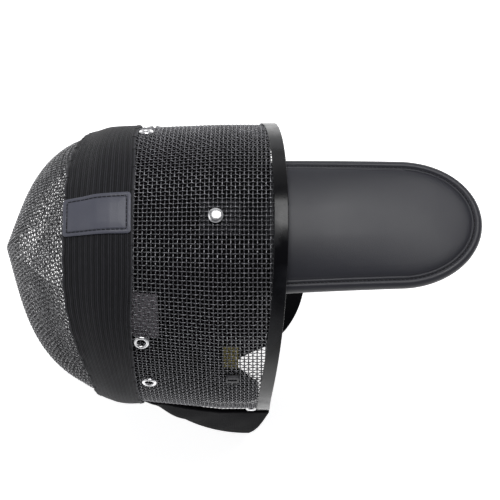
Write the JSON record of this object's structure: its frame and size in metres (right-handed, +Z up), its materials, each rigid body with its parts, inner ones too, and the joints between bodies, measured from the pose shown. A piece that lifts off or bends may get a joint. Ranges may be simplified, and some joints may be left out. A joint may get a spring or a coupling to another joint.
{
  "type": "fencing mask",
  "caption": "Fencing mask of black wire mesh with an elastic band over the seam, a padded tongue behind and a folded fabric bib.",
  "frame": {"origin": "centre of the bounding box at the floor, under the folded bib", "axes": "+Z up, -Y the way the face looks, +X to the wearer's left"},
  "size_m": [0.2278, 0.3512, 0.2882],
  "materials": {
    "face_wire": "black enamelled woven wire with bright glints",
    "side_wire": "black enamelled woven wire, satin",
    "gloss_rim": "glossy black edging band",
    "elastic_webbing": "ribbed charcoal elastic",
    "patch_leather": "smooth slate leatherette",
    "tongue_leather": "fine-grained charcoal leatherette",
    "spring_steel": "black lacquered spring strip",
    "padding_cloth": "matt black lining cloth",
    "pale_cloth": "plain pale cloth",
    "bib_cloth": "black woven cloth with a slight sheen",
    "polished_metal": "polished",
    "clip_plastic": "moulded, satin"
  },
  "bodies": {
    "root": {"face_mesh": "face_wire", "side_mesh": "side_wire", "rim": "gloss_rim", "elastic_strap": "elastic_webbing", "strap_patch": "patch_leather", "tongue": "tongue_leather", "tongue_spring": "spring_steel", "crown_pad": "padding_cloth", "cheek_pad_left": "padding_cloth", "cheek_pad_right": "padding_cloth", "lining_tab": "pale_cloth", "bib": "bib_cloth", "bib_piping": "bib_cloth", "tongue_rivet": "polished_metal", "temple_eyelet_left_upper": "polished_metal", "temple_eyelet_left_lower": "polished_metal", "temple_eyelet_right_upper": "polished_metal", "temple_eyelet_right_lower": "polished_metal", "bib_rivet_left": "polished_metal", "bib_rivet_right": "polished_metal", "strap_clip": "clip_plastic"}
  },
  "joints": []
}
